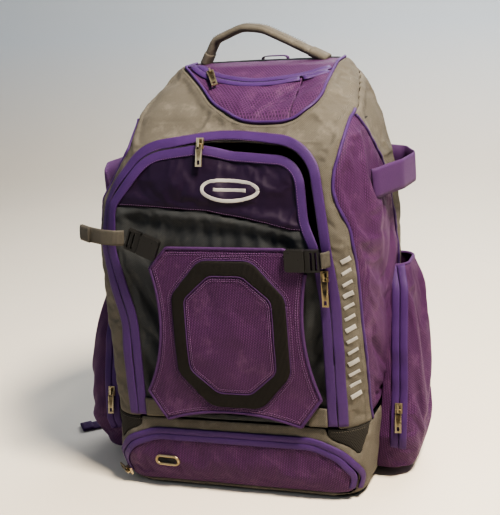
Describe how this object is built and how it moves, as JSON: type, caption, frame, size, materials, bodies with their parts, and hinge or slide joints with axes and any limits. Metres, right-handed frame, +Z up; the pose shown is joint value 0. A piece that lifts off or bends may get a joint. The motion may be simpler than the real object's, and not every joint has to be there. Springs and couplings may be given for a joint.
{
  "type": "bat and gear backpack",
  "caption": "Upright sports gear backpack with a zipped main flap, buckled helmet flap, half-moon top pocket, shoe compartment, side bat sleeves, handle and shoulder straps.",
  "frame": {"origin": "centre of the base where it stands on the floor", "axes": "+Z up, -Y towards the front flap, +Y towards the wearer's back, +X to the right seen from the front"},
  "size_m": [0.5166, 0.2959, 0.5597],
  "materials": {
    "grey_twill": "woven polyester twill",
    "purple_mesh": "honeycomb ripstop with a soft sheen",
    "purple_nylon": "smooth dark nylon",
    "purple_tape": "woven zip tape and piping",
    "purple_webbing": "flat webbing",
    "grey_webbing": "ribbed webbing",
    "black_rib": "fine ribbed grip fabric",
    "black_mesh": "coarse spacer mesh",
    "lining": "coated lining",
    "black_plastic": "moulded acetal",
    "antique_brass": "antiqued",
    "dark_metal": "black nickel"
  },
  "bodies": {
    "bag": {"base_panel": "lining", "back_panel": "lining", "front_frame": "grey_twill", "lower_band": "grey_twill", "left_side_mesh": "purple_mesh", "right_side_mesh": "purple_mesh", "rear_gussets": "grey_twill", "top_pocket_panel": "purple_mesh", "top_pocket_rear": "purple_mesh", "top_pocket_floor": "lining", "top_pocket_tape": "purple_tape", "top_piping": "purple_tape", "main_outer_tape": "purple_tape", "vent_meshes": "black_mesh", "shoe_ceiling": "lining", "shoe_outer_tape": "purple_tape", "left_side_pocket": "purple_mesh", "right_side_pocket": "purple_mesh", "bat_loops": "purple_webbing", "back_pads": "black_mesh", "strap_anchors": "lining", "ladder_locks": "black_plastic", "strap_tails": "purple_webbing", "hang_loop": "purple_webbing"},
    "main_flap": {"flap_lower_panel": "grey_twill", "flap_upper_panel": "purple_nylon", "flap_tape": "purple_tape", "anchor_tabs": "grey_twill"},
    "helmet_flap": {"helmet_panel": "purple_mesh", "grip_ring": "black_rib", "helmet_center": "purple_mesh", "left_socket": "black_plastic", "right_socket": "black_plastic"},
    "left_buckle_plug": {"left_plug": "black_plastic", "left_plug_webbing": "grey_webbing"},
    "right_buckle_plug": {"right_plug": "black_plastic", "right_plug_webbing": "grey_webbing"},
    "shoe_door": {"shoe_door_panel": "purple_mesh", "shoe_door_tape": "purple_tape", "vent_grommet": "dark_metal"},
    "top_lip": {"top_pocket_lip": "purple_mesh", "top_lip_tape": "purple_tape"},
    "handle": {"handle_grip": "grey_webbing"},
    "left_strap": {"left_shoulder_pad": "black_mesh", "left_strap_webbing": "lining"},
    "right_strap": {"right_shoulder_pad": "black_mesh", "right_strap_webbing": "lining"},
    "upper_zip_slider": {"upper_slider": "antique_brass"},
    "upper_zip_pull": {"upper_pull": "antique_brass"},
    "lower_zip_slider": {"lower_slider": "dark_metal"},
    "lower_zip_pull": {"lower_pull": "dark_metal"},
    "shoe_zip_slider": {"shoe_slider": "antique_brass"},
    "shoe_zip_pull": {"shoe_pull": "antique_brass"},
    "top_zip_slider": {"top_slider": "antique_brass"},
    "top_zip_pull": {"top_pull": "antique_brass"},
    "left_pocket_zip_slider": {"left_pocket_slider": "antique_brass"},
    "left_pocket_zip_pull": {"left_pocket_pull": "antique_brass"},
    "right_pocket_zip_slider": {"right_pocket_slider": "antique_brass"},
    "right_pocket_zip_pull": {"right_pocket_pull": "antique_brass"}
  },
  "joints": [
    {"name": "main_flap_fold", "type": "hinge", "parent": "bag", "child": "main_flap", "pos_m": [0, -0.1176, 0.0973], "axis": [1, 0, 0], "range_deg": [0, 90]},
    {"name": "helmet_flap_fold", "type": "hinge", "parent": "main_flap", "child": "helmet_flap", "pos_m": [0, -0.121, 0.101], "axis": [-1, 0, 0], "range_deg": [-75, 0]},
    {"name": "shoe_door_fold", "type": "hinge", "parent": "bag", "child": "shoe_door", "pos_m": [0, -0.1112, 0.0083], "axis": [1, 0, 0], "range_deg": [0, 80]},
    {"name": "top_lip_fold", "type": "hinge", "parent": "bag", "child": "top_lip", "pos_m": [0, -0.0337, 0.4808], "axis": [1, 0, 0], "range_deg": [0, 60]},
    {"name": "handle_swing", "type": "hinge", "parent": "bag", "child": "handle", "pos_m": [0, 0.078, 0.5165], "axis": [1, 0, 0], "range_deg": [-50, 60]},
    {"name": "left_strap_swing", "type": "hinge", "parent": "bag", "child": "left_strap", "pos_m": [-0.048, 0.112, 0.472], "axis": [0.1608, 0, 0.987], "range_deg": [-20, 20]},
    {"name": "right_strap_swing", "type": "hinge", "parent": "bag", "child": "right_strap", "pos_m": [0.048, 0.112, 0.472], "axis": [-0.1608, 0, 0.987], "range_deg": [-20, 20]},
    {"name": "left_buckle_release", "type": "slide", "parent": "main_flap", "child": "left_buckle_plug", "axis": [-0.9207, 0, 0.3903], "range_m": [0, 0.015]},
    {"name": "right_buckle_release", "type": "slide", "parent": "main_flap", "child": "right_buckle_plug", "axis": [1, 0, 0], "range_m": [0, 0.015]},
    {"name": "upper_zip_run", "type": "slide", "parent": "main_flap", "child": "upper_zip_slider", "axis": [0.9933, 0.0382, 0.1093], "range_m": [-0.045, 0.025]},
    {"name": "lower_zip_run", "type": "slide", "parent": "main_flap", "child": "lower_zip_slider", "axis": [0.03, -0.0207, -0.9993], "range_m": [0, 0.13]},
    {"name": "shoe_zip_run", "type": "slide", "parent": "shoe_door", "child": "shoe_zip_slider", "axis": [-0.335, 0.0052, 0.9422], "range_m": [0, 0.018]},
    {"name": "top_zip_run", "type": "slide", "parent": "top_lip", "child": "top_zip_slider", "axis": [0.9257, -0.3497, -0.144], "range_m": [0, 0.04]},
    {"name": "left_pocket_zip_run", "type": "slide", "parent": "bag", "child": "left_pocket_zip_slider", "axis": [0, 0.2402, 0.9707], "range_m": [-0.03, 0.06]},
    {"name": "right_pocket_zip_run", "type": "slide", "parent": "bag", "child": "right_pocket_zip_slider", "axis": [0, 0.2402, 0.9707], "range_m": [-0.03, 0.06]},
    {"name": "upper_pull_swing", "type": "hinge", "parent": "upper_zip_slider", "child": "upper_zip_pull", "pos_m": [-0.025, -0.0932, 0.43879], "axis": [-1, 0, 0], "range_deg": [0, 100]},
    {"name": "lower_pull_swing", "type": "hinge", "parent": "lower_zip_slider", "child": "lower_zip_pull", "pos_m": [0.12451, -0.11926, 0.28576], "axis": [-1, -0.001, 0], "range_deg": [0, 80]},
    {"name": "shoe_pull_swing", "type": "hinge", "parent": "shoe_zip_slider", "child": "shoe_zip_pull", "pos_m": [-0.16222, -0.10777, 0.01439], "axis": [-0.1972, -0.1479, 0.9691], "range_deg": [0, 100]},
    {"name": "top_pull_swing", "type": "hinge", "parent": "top_zip_slider", "child": "top_zip_pull", "pos_m": [-0.04437, 0.01098, 0.50943], "axis": [-0.8938, -0.4139, -0.1726], "range_deg": [0, 100]},
    {"name": "left_pocket_pull_swing", "type": "hinge", "parent": "left_pocket_zip_slider", "child": "left_pocket_zip_pull", "pos_m": [-0.2052, -0.04815, 0.09618], "axis": [-1, 0, 0], "range_deg": [0, 100]},
    {"name": "right_pocket_pull_swing", "type": "hinge", "parent": "right_pocket_zip_slider", "child": "right_pocket_zip_pull", "pos_m": [0.1859, -0.04815, 0.09618], "axis": [-1, 0, 0], "range_deg": [0, 100]}
  ]
}
